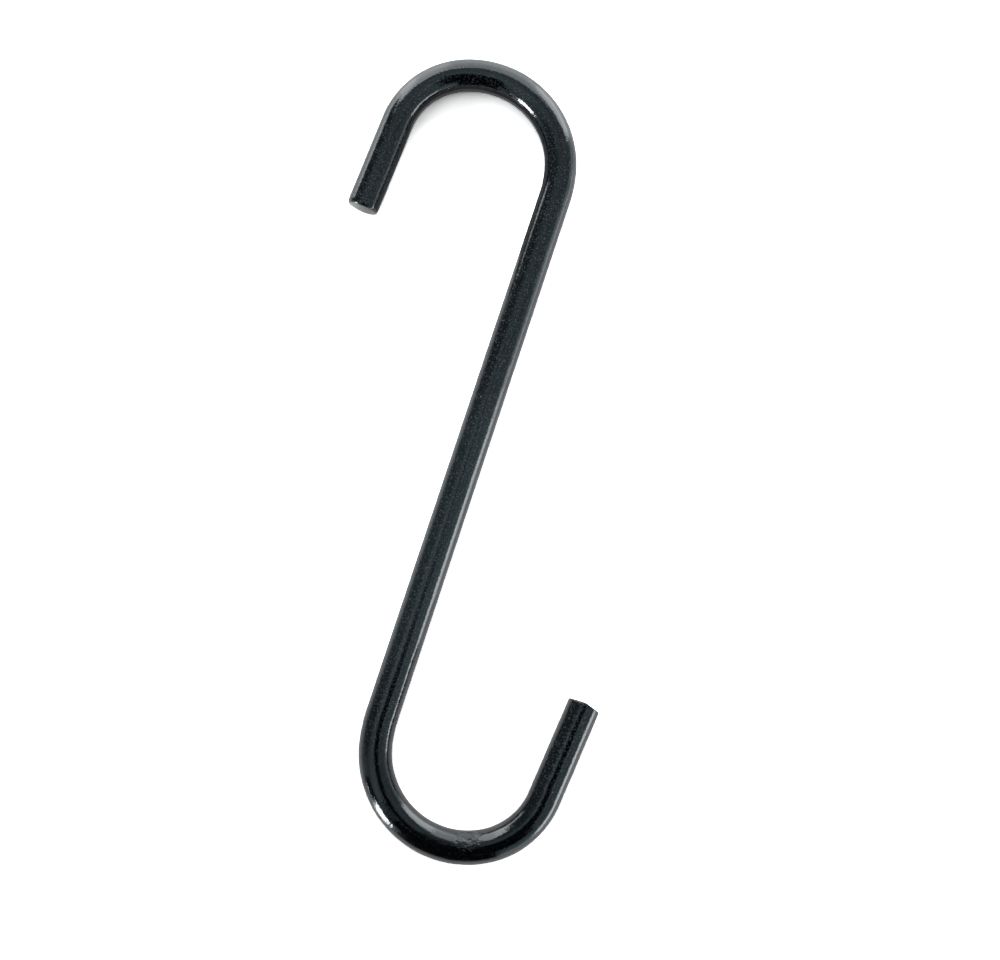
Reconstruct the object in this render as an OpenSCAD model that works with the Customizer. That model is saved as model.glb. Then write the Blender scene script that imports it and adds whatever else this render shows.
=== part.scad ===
// S hook for hanging things from a rail, bent cold from one length of round
// steel bar and then coated. It lies flat: its shank runs along Y, the upper
// hook is at +Y and opens towards -X, the lower hook is at -Y and opens
// towards +X, and the bar rests on Z = 0. The origin is the middle of the
// hook's outline, on the surface that it lies on.

/* [Bar] */
// Diameter of the bare bar
bar_d = 6.35; // [3:0.05:8]
// Thickness of the coat, on every side
coat_t = 0.05; // [0:0.01:0.2]

/* [Shank] */
// Length of the straight shank between the two bends
shank_l = 106.9; // [40:0.1:300]

/* [Upper hook] */
// Middle-line radius where the upper bend leaves the shank
upper_lead_r = 24; // [16:0.1:60]
// Turn of that easy first part
upper_lead_turn = 13; // [2:0.5:25]
// Middle-line radius over the crown of the upper bend
upper_crown_r = 18.3; // [12:0.1:60]
// Turn of the crown
upper_crown_turn = 99; // [80:0.5:110]
// Middle-line radius where the upper bend runs into its arm
upper_close_r = 15.1; // [12:0.1:60]
// Turn of that tighter last part
upper_close_turn = 65; // [30:0.5:66]
// Length of the straight arm, up to its cut end
upper_arm_l = 18.9; // [8:0.1:60]
// Rounding of the coated edge round the cut end
upper_tip_edge = 0.4; // [0.05:0.05:1.2]

/* [Lower hook] */
// Middle-line radius where the lower bend leaves the shank
lower_lead_r = 27.6; // [16:0.1:60]
// Turn of that easy first part
lower_lead_turn = 11; // [2:0.5:25]
// Middle-line radius over the crown of the lower bend
lower_crown_r = 17.7; // [12:0.1:60]
// Turn of the crown
lower_crown_turn = 108.5; // [80:0.5:110]
// Middle-line radius where the lower bend runs into its arm
lower_close_r = 15.3; // [12:0.1:60]
// Turn of that tighter last part
lower_close_turn = 55; // [30:0.5:60]
// Length of the straight arm, up to its cut end
lower_arm_l = 19; // [8:0.1:60]
// Rounding of the coated edge round the cut end
lower_tip_edge = 0.2; // [0.05:0.05:1.2]

/* [Hidden] */
$fn = 96;

// Outside radius of the coated bar
bar_r = bar_d / 2 + coat_t;
// Where two lengths of bar meet, one is this much slimmer all round, less
// than the coat's own grain, and runs this far into the other
slimmer = 0.02;
lap = 0.2;

// Each bend is a list of arcs, from the shank to the arm: [radius, turn]
upper_bend = [
    [upper_lead_r, upper_lead_turn],
    [upper_crown_r, upper_crown_turn],
    [upper_close_r, upper_close_turn]
];
lower_bend = [
    [lower_lead_r, lower_lead_turn],
    [lower_crown_r, lower_crown_turn],
    [lower_close_r, lower_close_turn]
];

// Turn made by a bend before its arc number i, in degrees
function turned(bend, i) = i == 0 ? 0 : bend[i - 1][1] + turned(bend, i - 1);

// How far a bend's middle line rises past the shank's end, at its highest
function rise(bend, i = 0) =
    i == len(bend) ? 0
    : bend[i][0] * (sin(min(90, turned(bend, i + 1))) - sin(min(90, turned(bend, i))))
        + rise(bend, i + 1);

// How far a bend's middle line moves sideways from the shank's axis, at most
function sweep(bend, i = 0) =
    i == len(bend) ? 0
    : bend[i][0] * (cos(min(180, turned(bend, i))) - cos(min(180, turned(bend, i + 1))))
        + sweep(bend, i + 1);

// How far a hook reaches sideways from the shank's axis: to the outer side of
// the arm's rounded edge, or of the bend itself if the arm leans back inwards
function reach(bend, arm_l, edge) =
    let (turn = min(180, turned(bend, len(bend))))
    sweep(bend) + (arm_l - edge) * sin(turn) - (bar_r - edge) * cos(turn) + edge;

// The middle of the outline, seen from the middle of the shank
middle_x = (reach(lower_bend, lower_arm_l, lower_tip_edge)
    - reach(upper_bend, upper_arm_l, upper_tip_edge)) / 2;
middle_y = (rise(upper_bend) - rise(lower_bend)) / 2;

// A straight length of bar that starts at the origin and runs along +Y
module straight(length) {
    rotate([-90, 0, 0]) cylinder(r = bar_r, h = length);
}

// The arm: a straight length with the edge of its cut end rounded
module arm(length, edge) {
    rotate([-90, 0, 0]) rotate_extrude() {
        square([bar_r - edge, length]);
        square([bar_r, length - edge]);
        translate([bar_r - edge, length - edge]) intersection() {
            circle(r = edge);
            square(edge);
        }
    }
}

// One arc of bent bar that starts at the origin along +Y and turns to -X. A
// slim one is lapped into what comes before it and after it.
module arc(radius, turn, slim) {
    lap_turn = slim ? lap / radius * 180 / PI : 0;
    translate([-radius, 0, 0]) rotate([0, 0, -lap_turn]) rotate_extrude(angle = turn + 2 * lap_turn)
        translate([radius, 0]) circle(r = slim ? bar_r - slimmer : bar_r);
}

// The arcs of a bend, one after the other, with the children after the last.
// The first and the last arc are the slim ones.
module bend_then(bend, i = 0) {
    if (i < len(bend)) {
        arc(bend[i][0], bend[i][1], i % 2 == 0);
        translate([-bend[i][0], 0, 0]) rotate([0, 0, bend[i][1]])
            translate([bend[i][0], 0, 0]) bend_then(bend, i + 1) children();
    } else {
        children();
    }
}

// Half of the hook: half the shank, then a bend and its arm
module half(bend, arm_l, edge) {
    straight(shank_l / 2);
    translate([0, shank_l / 2, 0]) bend_then(bend) arm(arm_l, edge);
}

// The whole hook, one piece of coated bar
module hook() {
    color("#101214") translate([-middle_x, -middle_y, bar_r]) {
        half(upper_bend, upper_arm_l, upper_tip_edge);
        rotate([0, 0, 180]) half(lower_bend, lower_arm_l, lower_tip_edge);
    }
}

hook();
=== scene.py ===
import math

import bpy
from mathutils import Matrix, Vector


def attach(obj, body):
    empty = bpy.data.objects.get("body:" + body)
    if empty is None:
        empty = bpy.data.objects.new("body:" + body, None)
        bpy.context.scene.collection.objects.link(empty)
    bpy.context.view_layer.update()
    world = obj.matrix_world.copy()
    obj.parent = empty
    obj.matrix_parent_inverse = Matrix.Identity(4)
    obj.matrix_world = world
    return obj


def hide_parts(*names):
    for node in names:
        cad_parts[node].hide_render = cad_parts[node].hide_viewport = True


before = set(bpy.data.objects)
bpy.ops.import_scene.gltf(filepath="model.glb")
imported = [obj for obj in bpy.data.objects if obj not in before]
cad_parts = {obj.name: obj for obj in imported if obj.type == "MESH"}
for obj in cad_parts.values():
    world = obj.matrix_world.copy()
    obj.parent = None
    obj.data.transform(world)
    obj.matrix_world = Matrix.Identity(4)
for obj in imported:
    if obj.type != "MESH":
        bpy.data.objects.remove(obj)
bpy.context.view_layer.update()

# ---------------------------------------------------------------- the coated bar
# One length of round mild steel bar, sheared off at both ends, bent cold round
# formers, hung on a wire rack and coated black. Each bend eases out of the
# shank, tightens over the crown and runs into a straight arm.
MM = 0.001
BAR_RADIUS = 3.225 * MM   # over the coat
SHANK = 106.9 * MM
# the arcs of each bend, from the shank out: (radius in mm, turn in degrees)
UPPER_BEND = ((24.0, 13.0), (18.3, 99.0), (15.1, 65.0))
LOWER_BEND = ((27.6, 11.0), (17.7, 108.5), (15.3, 55.0))
UPPER_ARM, LOWER_ARM = 18.9 * MM, 19.0 * MM
UPPER_RIM, LOWER_RIM = 0.4 * MM, 0.2 * MM             # how far each cut's edge is rounded
RIM_STRETCH = 1.8         # the rounding reaches this much further along the bar than across it
END_DOME = 0.08 * MM      # how far the coat swells over a cut
FACE_RINGS = (0.02, 0.2, 0.4, 0.6, 0.8, 0.92, 1.0)    # rings over a cut's flat, as parts of its radius
RIM_TURNS = range(15, 91, 15)                         # rings round a cut's rim, in degrees
RING_STEP = 0.35 * MM     # between the rings along the bar
SIDES = 80                # faces round the bar
WELL_IN = 40              # the ring, counted from a cut, that lies well up its straight arm


def stretches(bend, arm):
    """Half of the middle line, from the shank's middle out: (length, curvature) for each stretch."""
    arcs = [(radius * MM * math.radians(turn), 1 / (radius * MM)) for radius, turn in bend]
    return [(SHANK / 2, 0.0), *arcs, (arm, 0.0)]


def along(parts, distance):
    """The point at a distance along stretches that start at the origin along +Y."""
    x, y, heading = 0.0, 0.0, math.pi / 2
    for number, (length, bent) in enumerate(parts):
        last = number == len(parts) - 1
        step = distance if last else min(distance, length)
        if bent:
            after = heading + step * bent
            x += (math.sin(after) - math.sin(heading)) / bent
            y += (math.cos(heading) - math.cos(after)) / bent
            heading = after
        else:
            x += step * math.cos(heading)
            y += step * math.sin(heading)
        distance -= step
        if distance <= 0:
            break
    return Vector((x, y, 0.0))


def end_rings(rim):
    """Rings over a cut end, from its middle out: (distance in from the cut, ring radius)."""
    flat = BAR_RADIUS - rim
    face = [(-END_DOME * (1 - part ** 2), part * flat) for part in FACE_RINGS]
    turns = [math.radians(turn) for turn in RIM_TURNS]
    return face + [(RIM_STRETCH * rim * (1 - math.cos(a)), flat + rim * math.sin(a)) for a in turns]


def half_rings(bend, arm, rim):
    """Rings of one half, from the cut end to the shank's middle: (point, ring radius)."""
    parts = stretches(bend, arm)
    whole = sum(length for length, _ in parts)
    full_round = whole - RIM_STRETCH * rim
    count = round(full_round / RING_STEP)
    return ([(along(parts, whole - inward), radius) for inward, radius in end_rings(rim)]
            + [(along(parts, full_round * (1 - n / count)), BAR_RADIUS) for n in range(1, count + 1)])


# the lower half is laid out as the upper one is, then turned half round and joined on backwards
upper = half_rings(UPPER_BEND, UPPER_ARM, UPPER_RIM)
lower = [(Vector((-p.x, -p.y, 0.0)), r) for p, r in half_rings(LOWER_BEND, LOWER_ARM, LOWER_RIM)]
rings = upper + lower[-2::-1]
# the origin is the middle of the whole length and width, on the table
centre = [(min(p[axis] for p, _ in rings) + max(p[axis] for p, _ in rings)) / 2 for axis in (0, 1)]
rings = [(p - Vector((*centre, -BAR_RADIUS)), r) for p, r in rings]

path_data = bpy.data.curves.new("middle_line", "CURVE")
path_data.dimensions = "3D"
path_data.twist_mode = "Z_UP"
spline = path_data.splines.new("POLY")
spline.points.add(len(rings) - 1)
for point, (place, radius) in zip(spline.points, rings):
    point.co = (*place, 1.0)
    point.radius = radius / BAR_RADIUS
path = bpy.data.objects.new("middle_line", path_data)
bpy.context.scene.collection.objects.link(path)


def add(tree, kind, *values, **named):
    """Adds a node. The values go to its inputs in order, and the ones under capitalised names to the
    inputs of those names. Lower-case names are settings. A node as a value joins by its first output."""
    node = tree.nodes.new(kind)
    for name in [name for name in named if name.islower()]:
        setattr(node, name, named.pop(name))
    pairs = list(zip([socket for socket in node.inputs if socket.enabled], values))
    pairs += [(node.inputs[name.replace("_", " ")], value) for name, value in named.items()]
    for socket, value in pairs:
        if isinstance(value, bpy.types.Node):
            value = next(output for output in value.outputs if output.enabled)
        if isinstance(value, bpy.types.NodeSocket):
            tree.links.new(value, socket)
        else:
            socket.default_value = value
    return node


def linear(colour):
    """A linear colour, with alpha, from an sRGB hex one."""
    parts = [int(colour[i:i + 2], 16) / 255 for i in (1, 3, 5)]
    return (*[c / 12.92 if c <= 0.04045 else ((c + 0.055) / 1.055) ** 2.4 for c in parts], 1.0)


# The coat is black thermosetting powder, sprayed on dry and melted into one skin. It is a deep
# gloss whose reflections stay sharp, with a fine orange peel and a sprinkling of pale filler, partly
# painted glint of the peel.
NOISE_SPAN = (0.3, 0.7)   # nearly all of a noise lies between these, about a mean of a half
NOISE_MEAN = 0.5
PEEL_SIZE = 0.42 * MM     # crest to crest of the orange peel
PEEL_DEPTH = 0.022 * MM
CLOUD_SIZE = 0.8 * MM     # of the patches that are a little more or less glossy
GLOSS = (0.08, 0.14)      # roughness of the glossiest and the dullest patches
COAT_IOR = 1.6
FLECK_SIZE = 0.34 * MM    # of a grain of filler, drawn coarse enough to show
FLECK_LEVELS = (0.52, 0.85)                           # of the noise, where a grain starts and is palest
# fewer grains over the crowns of the bends, and fewest over the lower one, where the coat mirrors
# dark and shows less of their painted glint: (start, end, part of the grains left) by place along the
# shank
CROWNS = ((52 * MM, 66 * MM, 0.7), (-52 * MM, -66 * MM, 0.2))
GRIT_RADIUS = 0.17 * MM   # of the grains of grit caught in the melt
GRIT_RISE = 1.5           # how far they stand up, in depths of the peel
GRIT = [Vector(place) * MM for place in ((-1.37, 10.29, 6.23), (2.23, 19.15, 5.35),
                                         (8.95, -67.21, 4.59), (35.04, -57.1, 6.34))]
# painted reflection: the top of the shank is lightened, standing in for the brighter light its gloss
# mirrors there
SHANK_SHEEN_PLACE = Vector((0.0, -17.0, 6.0)) * MM
SHANK_SHEEN_REACH, SHANK_SHEEN_CORE = 38 * MM, 19 * MM
# where the rack's wire held the bar and where the former pressed it, the coat is thin and rough
RACK_MARK = Vector((22.6, -70.3, 5.5)) * MM
FORMER_MARK = Vector((2.9, -54.0, 4.0)) * MM
MARK_ROUGHNESS = 0.20
MARK_PEEL = 12.0          # how many times deeper the peel gets there
THIN_LEVELS = (0.35, 0.65)                            # of the noise, where it starts to thin and stops

coat = bpy.data.materials.new("gloss_black_powder_coat")
coat.use_nodes = True
paint = coat.node_tree
paint.nodes.clear()
spot = add(paint, "ShaderNodeTexCoord").outputs["Object"]
mark = add(paint, "ShaderNodeAttribute", attribute_name="mark").outputs["Fac"]
grit = 0.0
for place in GRIT:
    off = add(paint, "ShaderNodeVectorMath", spot, place, operation="DISTANCE")
    grain = add(paint, "ShaderNodeMapRange", off, GRIT_RADIUS, 0.0, 0.0, 1.0,
                interpolation_type="SMOOTHSTEP")
    grit = add(paint, "ShaderNodeMath", grit, grain, operation="MAXIMUM")
fleck = add(paint, "ShaderNodeTexNoise", Vector=spot, Scale=1 / FLECK_SIZE, Detail=1.0)
# painted glint: pale flecks in the colour, partly filler and partly standing in for the glints of the
# peel, thinned over the crowns
pale = add(paint, "ShaderNodeMapRange", fleck, *FLECK_LEVELS, 0.0, 1.0)
along_shank = add(paint, "ShaderNodeSeparateXYZ", spot).outputs["Y"]
for start, end, left in CROWNS:
    crowded = add(paint, "ShaderNodeMapRange", along_shank, start, end, 1.0, left)
    pale = add(paint, "ShaderNodeMath", pale, crowded, operation="MULTIPLY")
# painted reflection: a pale patch over the top of the shank, full within its core and gone at its reach
off = add(paint, "ShaderNodeVectorMath", spot, SHANK_SHEEN_PLACE, operation="DISTANCE")
painted_shank_sheen = add(paint, "ShaderNodeMapRange", off, SHANK_SHEEN_REACH, SHANK_SHEEN_CORE, 0.0, 1.0,
           interpolation_type="SMOOTHSTEP")
thin = add(paint, "ShaderNodeMapRange", fleck, *THIN_LEVELS, 0.0, 1.0)
thin = add(paint, "ShaderNodeMath", mark, thin, operation="MULTIPLY")
# over the black pigment come the painted reflection on the top of the shank, the pale grains with their
# painted glint, the thin coat of the marks and the grit
tint = linear("#010203")
for amount, colour in ((painted_shank_sheen, "#12181b"), (pale, "#444a4f"), (thin, "#0e1012"), (grit, "#7d8486")):
    tint = add(paint, "ShaderNodeMix", amount, tint, linear(colour), data_type="RGBA")
cloud = add(paint, "ShaderNodeTexNoise", Vector=spot, Scale=1 / CLOUD_SIZE, Detail=2.0)
sheen = add(paint, "ShaderNodeMapRange", cloud, *NOISE_SPAN, *GLOSS)
dull = add(paint, "ShaderNodeMix", mark, sheen, MARK_ROUGHNESS, data_type="FLOAT")
peel = add(paint, "ShaderNodeTexNoise", Vector=spot, Scale=1 / PEEL_SIZE, Detail=2.0)
deeper = add(paint, "ShaderNodeMath", mark, MARK_PEEL, 1.0, operation="MULTIPLY_ADD")
peel = add(paint, "ShaderNodeMath", peel, deeper, operation="MULTIPLY")
lumps = add(paint, "ShaderNodeMath", grit, GRIT_RISE, operation="MULTIPLY")
height = add(paint, "ShaderNodeMath", peel, lumps, operation="ADD")
bump = add(paint, "ShaderNodeBump", Strength=1.0, Distance=PEEL_DEPTH, Height=height)
skin = add(paint, "ShaderNodeBsdfPrincipled", Base_Color=tint, Roughness=dull, IOR=COAT_IOR, Normal=bump)
add(paint, "ShaderNodeOutputMaterial", Surface=skin)

# what the sweep is given, by kind of input
values = {
    "Float": {
        "Bar radius": BAR_RADIUS,
        "Ripple size": 3 * MM,            # crest to crest of the coat's slow ripple
        "Ripple depth": 0.05 * MM,
        "Crumb size": 0.6 * MM,           # of the crumbs that the marks are made of
        "Rack mark reach": 2.6 * MM, "Rack mark height": 0.75 * MM,
        "Former mark reach": 1.0 * MM, "Former mark height": 0.4 * MM,
        # the shears' marks at each end, none of which reach further in than the cut depth: it stands
        # proud by the burr, is pinched up to a low ridge, is cut out of square across the bar by the
        # turn, and leans from top to bottom by the slant
        "Cut depth": 1.2 * MM,
        "Upper burr": 0.25 * MM, "Upper pinch": 0.05 * MM,
        "Upper turn": -0.05 * MM, "Upper slant": 0.12 * MM,
        "Lower burr": 0.12 * MM, "Lower pinch": 0.5 * MM,
        "Lower turn": -0.17 * MM, "Lower slant": 0.05 * MM,
        "End reach": 1.5,                 # an end's marks stay within this many bar radii of its middle
    },
    "Int": {"Sides": SIDES},
    "Vector": {"Rack mark place": RACK_MARK, "Former mark place": FORMER_MARK},
    "Material": {"Coat": coat},
}
for name, end, inside in (("Upper", rings[0][0], rings[WELL_IN][0]),
                          ("Lower", rings[-1][0], rings[-WELL_IN][0])):
    values["Vector"][name + " end"] = end
    values["Vector"][name + " way out"] = (end - inside).normalized()

sweep = bpy.data.node_groups.new("bar_along_line", "GeometryNodeTree")
sweep.interface.new_socket("Geometry", in_out="OUTPUT", socket_type="NodeSocketGeometry")
sweep.interface.new_socket("Geometry", in_out="INPUT", socket_type="NodeSocketGeometry")
for kind, inputs in values.items():
    for name in inputs:
        sweep.interface.new_socket(name, in_out="INPUT", socket_type="NodeSocket" + kind)
given = add(sweep, "NodeGroupInput").outputs
ring = add(sweep, "GeometryNodeCurvePrimitiveCircle", Resolution=given["Sides"],
           Radius=given["Bar radius"])
size = add(sweep, "GeometryNodeInputRadius")
bar = add(sweep, "GeometryNodeCurveToMesh", Curve=given["Geometry"], Profile_Curve=ring, Scale=size,
          Fill_Caps=True)
where = add(sweep, "GeometryNodeInputPosition")
normal = add(sweep, "GeometryNodeInputNormal")
# the coat's ripple
per_metre = add(sweep, "ShaderNodeMath", 1.0, given["Ripple size"], operation="DIVIDE")
ripple = add(sweep, "ShaderNodeTexNoise", Vector=where, Scale=per_metre, Detail=1.0)
ripple = add(sweep, "ShaderNodeMath", ripple, NOISE_MEAN, operation="SUBTRACT")
rise = add(sweep, "ShaderNodeMath", ripple, given["Ripple depth"], operation="MULTIPLY")
# the two marks: ragged patches of crumbs, full in the middle and faded out at their reach
CRUMBS_FROM = 0.4         # of the noise, above which a crumb stands up
PATCH_FULL = 0.6          # part of its reach within which a mark is full
per_metre = add(sweep, "ShaderNodeMath", 1.0, given["Crumb size"], operation="DIVIDE")
crumbs = add(sweep, "ShaderNodeTexNoise", Vector=where, Scale=per_metre, Detail=2.0)
ragged = add(sweep, "ShaderNodeMath", crumbs, NOISE_MEAN, operation="SUBTRACT")
crumbs = add(sweep, "ShaderNodeMath", crumbs, CRUMBS_FROM, operation="SUBTRACT")
marks = 0.0
for name in ("Rack mark", "Former mark"):
    off = add(sweep, "ShaderNodeVectorMath", where, given[name + " place"], operation="DISTANCE")
    off = add(sweep, "ShaderNodeMath", off, given[name + " reach"], operation="DIVIDE")
    off = add(sweep, "ShaderNodeMath", off, ragged, operation="ADD")
    patch = add(sweep, "ShaderNodeMapRange", off, 1.0, PATCH_FULL, 0.0, 1.0,
                interpolation_type="SMOOTHSTEP")
    height = add(sweep, "ShaderNodeMath", crumbs, given[name + " height"], operation="MULTIPLY")
    rise = add(sweep, "ShaderNodeMath", height, patch, rise, operation="MULTIPLY_ADD")
    marks = add(sweep, "ShaderNodeMath", marks, patch, operation="MAXIMUM")
push = add(sweep, "ShaderNodeVectorMath", normal, rise, operation="SCALE")
# the shears' marks
cut_depth = add(sweep, "ShaderNodeMath", given["Cut depth"], -1.0, operation="MULTIPLY")
reach = add(sweep, "ShaderNodeMath", given["Bar radius"], given["End reach"], operation="MULTIPLY")
for name in ("Upper", "Lower"):
    way = given[name + " way out"]
    from_end = add(sweep, "ShaderNodeVectorMath", where, given[name + " end"], operation="SUBTRACT")
    outward = add(sweep, "ShaderNodeVectorMath", from_end, way, operation="DOT_PRODUCT")
    sideways = add(sweep, "ShaderNodeVectorMath", way, (0, 0, 1), operation="CROSS_PRODUCT")
    aside = add(sweep, "ShaderNodeVectorMath", from_end, sideways, operation="DOT_PRODUCT")
    aside = add(sweep, "ShaderNodeMath", aside, given["Bar radius"], operation="DIVIDE")
    above = add(sweep, "ShaderNodeSeparateXYZ", from_end).outputs["Z"]
    above = add(sweep, "ShaderNodeMath", above, given["Bar radius"], operation="DIVIDE")
    near = add(sweep, "ShaderNodeMapRange", outward, cut_depth, 0.0, 0.0, 1.0)
    middling = add(sweep, "ShaderNodeMath", aside, operation="ABSOLUTE")
    middling = add(sweep, "ShaderNodeMath", 1.0, middling, operation="SUBTRACT")
    lift = given[name + " burr"]
    for amount, most in ((middling, " pinch"), (aside, " turn"), (above, " slant")):
        lift = add(sweep, "ShaderNodeMath", amount, given[name + most], lift, operation="MULTIPLY_ADD")
    # only near this end, so that the other parts of the hook beside and beyond it are left alone
    off = add(sweep, "ShaderNodeVectorMath", from_end, operation="LENGTH")
    here = add(sweep, "ShaderNodeMath", off, reach, operation="LESS_THAN")
    lift = add(sweep, "ShaderNodeMath", lift, near, operation="MULTIPLY")
    lift = add(sweep, "ShaderNodeMath", lift, here, operation="MULTIPLY")
    shift = add(sweep, "ShaderNodeVectorMath", way, lift, operation="SCALE")
    push = add(sweep, "ShaderNodeVectorMath", push, shift, operation="ADD")
marked = add(sweep, "GeometryNodeStoreNamedAttribute", bar, Name="mark", Value=marks, data_type="FLOAT",
             domain="POINT")
moved = add(sweep, "GeometryNodeSetPosition", marked, Offset=push)
smooth = add(sweep, "GeometryNodeSetShadeSmooth", moved)
real = add(sweep, "GeometryNodeRealizeInstances", smooth)
coated = add(sweep, "GeometryNodeSetMaterial", real, Material=given["Coat"])
add(sweep, "NodeGroupOutput", coated)

swept = path.modifiers.new("bar", "NODES")
swept.node_group = sweep
for item in sweep.interface.items_tree:
    for inputs in values.values():
        if item.name in inputs:
            swept[item.identifier] = inputs[item.name]
hook_mesh = bpy.data.meshes.new_from_object(path.evaluated_get(bpy.context.evaluated_depsgraph_get()))
bpy.data.objects.remove(path)
hook_mesh.name = "coated_bar"
hook = bpy.data.objects.new("coated_bar", hook_mesh)
bpy.context.scene.collection.objects.link(hook)
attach(hook, "root")
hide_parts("hook")

# ---------------------------------------------------------------- the table
# A wide sheet of white card that the hook lies on, calendered to a satin face,
# so that it is matt from above and has a soft sheen at low angles.
TABLE_REACH = 6.0         # from the middle to each side, in metres
CARD_WHITE = 0.88         # the part of the light that the card itself gives back
CARD_SHEEN = 0.22         # roughness of the satin face
CARD_IOR = 1.55
MIRRORED_LIFT = 0.45      # how much whiter the card is where the coat mirrors it
SEEN_LIFT = 2.5           # how much whiter to the eye, up to a plain white that keeps the shadow
# how far out, in metres, it turns to a flat plain white to the eye, past the lamps' even light
PLAIN_FROM, PLAIN_BY = 0.18, 0.32

card = bpy.data.materials.new("satin_white_card")
card.use_nodes = True
sheet = card.node_tree
sheet.nodes.clear()
ray = add(sheet, "ShaderNodeLightPath").outputs
mirrored = add(sheet, "ShaderNodeMath", ray["Is Glossy Ray"], ray["Is Transmission Ray"],
               operation="MAXIMUM")
mirrored = add(sheet, "ShaderNodeMath", mirrored, MIRRORED_LIFT, operation="MULTIPLY")
seen = add(sheet, "ShaderNodeMath", ray["Is Camera Ray"], SEEN_LIFT, operation="MULTIPLY")
white = add(sheet, "ShaderNodeMath", CARD_WHITE, mirrored, operation="ADD")
white = add(sheet, "ShaderNodeMath", white, seen, operation="ADD")
white = add(sheet, "ShaderNodeCombineColor", white, white, white)
matt = add(sheet, "ShaderNodeBsdfDiffuse", Color=white)
satin = add(sheet, "ShaderNodeBsdfGlossy", Color=linear("#ffffff"), Roughness=CARD_SHEEN)
glancing = add(sheet, "ShaderNodeFresnel", IOR=CARD_IOR)
lit = add(sheet, "ShaderNodeMixShader", glancing, matt, satin)
spot = add(sheet, "ShaderNodeTexCoord").outputs["Object"]
far = add(sheet, "ShaderNodeVectorMath", spot, operation="LENGTH")
far = add(sheet, "ShaderNodeMapRange", far, PLAIN_FROM, PLAIN_BY, 0.0, 1.0,
          interpolation_type="SMOOTHSTEP")
far = add(sheet, "ShaderNodeMath", far, ray["Is Camera Ray"], operation="MULTIPLY")
plain = add(sheet, "ShaderNodeEmission", Color=linear("#ffffff"), Strength=1.0)
face = add(sheet, "ShaderNodeMixShader", far, lit, plain)
add(sheet, "ShaderNodeOutputMaterial", Surface=face)

table_mesh = bpy.data.meshes.new("table")
table_corners = [(x * TABLE_REACH, y * TABLE_REACH, 0.0) for x, y in ((-1, -1), (1, -1), (1, 1), (-1, 1))]
table_mesh.from_pydata(table_corners, [], [(0, 1, 2, 3)])
table_mesh.materials.append(card)
table = bpy.data.objects.new("table", table_mesh)
bpy.context.scene.collection.objects.link(table)

# ---------------------------------------------------------------- the lights
# A bank of soft panels behind, a strong lamp far off low on the left, a low
# strip on the right and faint glows on the table, in a dim room. Black cards in
# front, overhead and on the left keep the dark bands of the coat.
LEAN = math.radians(18.195)                           # of the shank, clockwise from straight up the view
RIGHT = Vector((math.cos(LEAN), math.sin(LEAN), 0))   # across the view, in the hook's frame
BACK = Vector((-math.sin(LEAN), math.cos(LEAN), 0))   # up the view
UP = Vector((0, 0, 1))
AIM = Vector((7.095, -3.685, 3.225)) * MM             # the middle of the view


def placed(right, back, up):
    """A place given across, up and out of the table, as the camera sees it."""
    return AIM + RIGHT * right + BACK * back + UP * up


def facing(place, target, roll=UP):
    """A matrix at place whose -Z points at target."""
    away = (place - target).normalized()
    side = roll.cross(away).normalized()
    return Matrix.Translation(place) @ Matrix((side, away.cross(side), away)).transposed().to_4x4()


world = bpy.data.worlds.new("room")
bpy.context.scene.world = world
world.use_nodes = True
room = world.node_tree
room.nodes.clear()
direction = add(room, "ShaderNodeTexCoord").outputs["Generated"]
# dim all over, and darkest where a dark wall stands behind on the left, over a span of cosines
# from the wall's middle
ROOM_LEVEL, WALL_LEVEL = 0.66, 0.18
WALL_SPAN = (0.70, 0.92)
wall = (RIGHT * -0.74 + BACK * 0.46 + UP * 0.5).normalized()
wallward = add(room, "ShaderNodeVectorMath", direction, wall, operation="DOT_PRODUCT")
level = add(room, "ShaderNodeMapRange", wallward, *WALL_SPAN, ROOM_LEVEL, WALL_LEVEL,
            interpolation_type="SMOOTHSTEP")
# a little dimmer over two stretches of the ceiling, behind and on the right: (middle, the cosines
# from it where the shade starts and is full, part of the light left)
for middle, edge, full, left in ((BACK * 0.55 + UP * 0.83 - RIGHT * 0.1, 0.84, 0.985, 0.55),
                                 (RIGHT * 0.557 + BACK * 0.321 + UP * 0.766, 0.82, 0.94, 0.68)):
    toward = add(room, "ShaderNodeVectorMath", direction, middle.normalized(), operation="DOT_PRODUCT")
    shade = add(room, "ShaderNodeMapRange", toward, edge, full, 1.0, left, interpolation_type="SMOOTHSTEP")
    level = add(room, "ShaderNodeMath", level, shade, operation="MULTIPLY")
# a little brighter straight overhead, and much brighter low on the right, over spans of height
# and of distance to the right in a sky of radius 1
OVERHEAD_SPAN, OVERHEAD_LIFT = (0.6, 0.95), 0.15
LOW_SPAN, RIGHT_SPAN = (0.42, 0.05), (-0.5, 0.5)
height = add(room, "ShaderNodeSeparateXYZ", direction).outputs["Z"]
zenith = add(room, "ShaderNodeMapRange", height, *OVERHEAD_SPAN, 0.0, OVERHEAD_LIFT,
             interpolation_type="SMOOTHSTEP")
level = add(room, "ShaderNodeMath", level, zenith, operation="ADD")
low = add(room, "ShaderNodeMapRange", height, *LOW_SPAN, 0.0, 1.0, interpolation_type="SMOOTHSTEP")
rightward = add(room, "ShaderNodeVectorMath", direction, RIGHT, operation="DOT_PRODUCT")
rightward = add(room, "ShaderNodeMapRange", rightward, *RIGHT_SPAN, 0.0, 1.0,
                interpolation_type="SMOOTHSTEP")
level = add(room, "ShaderNodeMath", low, rightward, level, operation="MULTIPLY_ADD")
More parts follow.
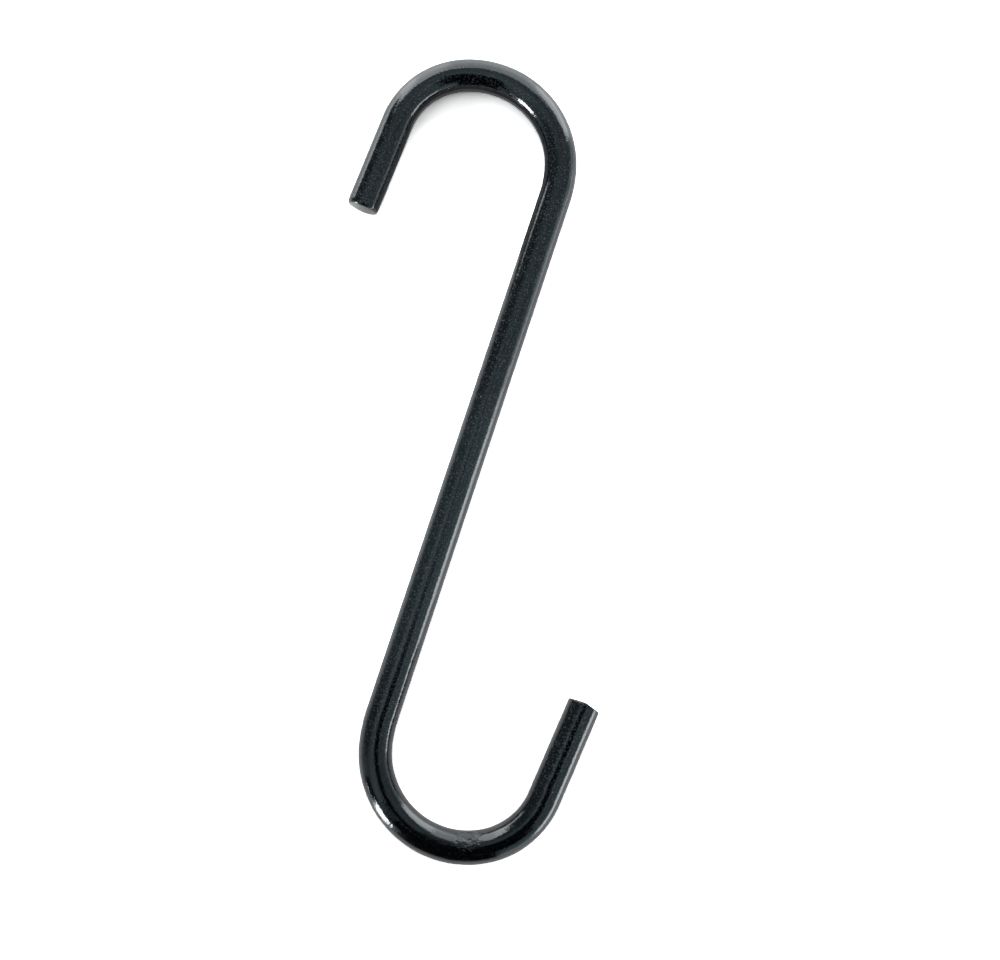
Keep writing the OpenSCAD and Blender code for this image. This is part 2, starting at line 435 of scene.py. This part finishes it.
# broken up by the room's clutter
CLUTTER_SCALE, CLUTTER_LEVELS = 11.0, (0.5, 1.5)
clutter = add(room, "ShaderNodeTexNoise", Vector=direction, Scale=CLUTTER_SCALE, Detail=2.0)
clutter = add(room, "ShaderNodeMapRange", clutter, *NOISE_SPAN, *CLUTTER_LEVELS)
level = add(room, "ShaderNodeMath", level, clutter, operation="MULTIPLY")
# cool where the coat mirrors it, and plain white to the eye behind the hook from any side
ray = add(room, "ShaderNodeLightPath").outputs
cast = add(room, "ShaderNodeMix", ray["Is Glossy Ray"], linear("#ffffff"), linear("#cbe6ee"),
           data_type="RGBA")
level = add(room, "ShaderNodeMix", ray["Is Camera Ray"], level, 1.0, data_type="FLOAT")
air = add(room, "ShaderNodeBackground", Color=cast, Strength=level)
add(room, "ShaderNodeOutputWorld", Surface=air)


def panel(name, place, wide, tall, radiance, target=AIM, roll=UP):
    """A flat lamp of a given brightness to the eye, as it shows in the coat."""
    data = bpy.data.lights.new(name, "AREA")
    data.color = linear("#f8fdff")[:3]
    data.shape = "RECTANGLE"
    data.size, data.size_y = wide, tall
    data.energy = radiance * math.pi * wide * tall
    lamp = bpy.data.objects.new(name, data)
    bpy.context.scene.collection.objects.link(lamp)
    lamp.matrix_world = facing(place, target, roll)
    lamp.visible_camera = False


# the bank behind stands on the table, one panel beside the next: (name, left, right, top, radiance)
BANK_DISTANCE = 0.70
for name, left, right, top, radiance in (("back_low_panel", -1.0, -0.52, 0.27, 3.4),
                                         ("back_left_panel", -0.52, -0.34, 0.84, 5.0),
                                         ("back_inner_panel", -0.34, -0.12, 0.92, 3.3),
                                         ("back_middle_panel", -0.12, 0.35, 0.92, 2.1),
                                         ("back_right_panel", 0.35, 1.02, 0.64, 4.4)):
    place = placed((left + right) / 2, BANK_DISTANCE, top / 2)
    panel(name, place, right - left, top, radiance, place - BACK)
panel("left_lamp", placed(-2.117, -1.330, 0.45), 1.01, 0.86, 32.0)
panel("right_strip", placed(0.745, -0.43, 0.08), 0.70, 0.16, 5.5)
# the glows lie face up on the table, the first one turned on it
GLOW_ROLL = RIGHT * 0.5 + BACK * 0.866
glow_place = placed(0.32, -0.17, -0.0026)
panel("right_table_glow", glow_place, 0.56, 0.28, 2.3, glow_place + UP, GLOW_ROLL)
# the two beside the bar, in mm in the hook's frame: (name, left, right, bottom, top, radiance)
GLOW_HEIGHT = 0.6
for name, left, right, bottom, top, radiance in (("shank_glow", 17, 78, -30, 74, 1.5),
                                                 ("lower_arm_glow", 60, 110, -92, -30, 0.5)):
    glow_place = Vector(((left + right) / 2, (bottom + top) / 2, GLOW_HEIGHT)) * MM
    panel(name, glow_place, (right - left) * MM, (top - bottom) * MM, radiance, glow_place + UP,
          Vector((0, 1, 0)))


def card_paint(name, colour):
    """A matt material for a studio card, of one flat colour with no shine at any angle."""
    paint = bpy.data.materials.new(name)
    paint.use_nodes = True
    paint.node_tree.nodes.clear()
    pile = add(paint.node_tree, "ShaderNodeBsdfDiffuse", Color=linear(colour))
    add(paint.node_tree, "ShaderNodeOutputMaterial", Surface=pile)
    return paint


black_flock = card_paint("black_flock_card", "#050505")
# painted shade: the grey of the card that stands in for the bar's shadow on the table inside the top bend
hollow_shade_paint = card_paint("painted_table_shade_card", "#a0a0a0")
FRONT = -0.38             # where the front cards stand
OVER_CAMERA = 0.32        # how high the overhead ones lie


def upright(start, end, bottom, top):
    """The corners of an upright card between two places, each given across and up the view."""
    return [placed(*start, bottom), placed(*end, bottom), placed(*end, top), placed(*start, top)]


def overhead(left, right, front, back):
    """The corners of a level card just over the camera."""
    sides = ((left, front), (right, front), (right, back), (left, back))
    return [placed(x, y, OVER_CAMERA) for x, y in sides]


def flag(name, corners, paint=black_flock, shades=True):
    """A card that the camera doesn't see, but the coat mirrors. It may leave the table's light alone."""
    mesh = bpy.data.meshes.new(name)
    mesh.from_pydata(corners, [], [tuple(range(len(corners)))])
    mesh.materials.append(paint)
    card = bpy.data.objects.new(name, mesh)
    bpy.context.scene.collection.objects.link(card)
    card.visible_camera = False
    if not shades:
        card.visible_shadow = card.visible_diffuse = False


flag("front_flag", upright((-0.28, FRONT), (0.08, FRONT), 0.0, OVER_CAMERA))
flag("front_upper_flag", upright((-0.40, FRONT), (0.27, FRONT), 0.30, 2.2))
flag("overhead_flag", overhead(-0.05, 0.115, -0.40, -0.027))
flag("left_flag", upright((-0.3224, -0.1826), (-0.3266, -0.2498), 0.0, 0.24))
flag("left_low_flag", upright((-0.172, -0.098), (-0.166, -0.126), 0.0, 0.10))
flag("camera_flag", overhead(0.0, 0.042, -0.03, 0.065))
# a grey card inside the top bend, just clear of the table, that the coat mirrors: painted shade,
# standing in for the bar's shadow on the table there. Its corners in mm across and up the view
HOLLOW_LEVEL = -2.8 * MM
HOLLOW = ((-22.5, 51.0), (5.0, 47.0), (8.3, 62.0), (4.5, 70.5), (-3.0, 74.3), (-11.0, 73.5), (-18.0, 67.0))
hollow_corners = [placed(x * MM, y * MM, HOLLOW_LEVEL) for x, y in HOLLOW]
flag("upper_hollow_shade_flag", hollow_corners, hollow_shade_paint, shades=False)

# ---------------------------------------------------------------- the camera
# Almost straight above, leaning back a little over the hook's lower end, with
# a lens a little longer than a normal one.
LENS, SENSOR = 54.0, 36.0                             # in mm
DISTANCE = 0.2921         # from the middle of the view
TILT = math.radians(6.6)
camera_data = bpy.data.cameras.new("camera")
camera_data.lens = LENS
camera_data.sensor_width = SENSOR
camera_data.clip_start = 0.01
camera = bpy.data.objects.new("camera", camera_data)
bpy.context.scene.collection.objects.link(camera)
camera.matrix_world = facing(placed(0.0, -DISTANCE * math.sin(TILT), DISTANCE * math.cos(TILT)), AIM, BACK)
bpy.context.scene.camera = camera

bpy.context.scene.view_settings.view_transform = "Standard"
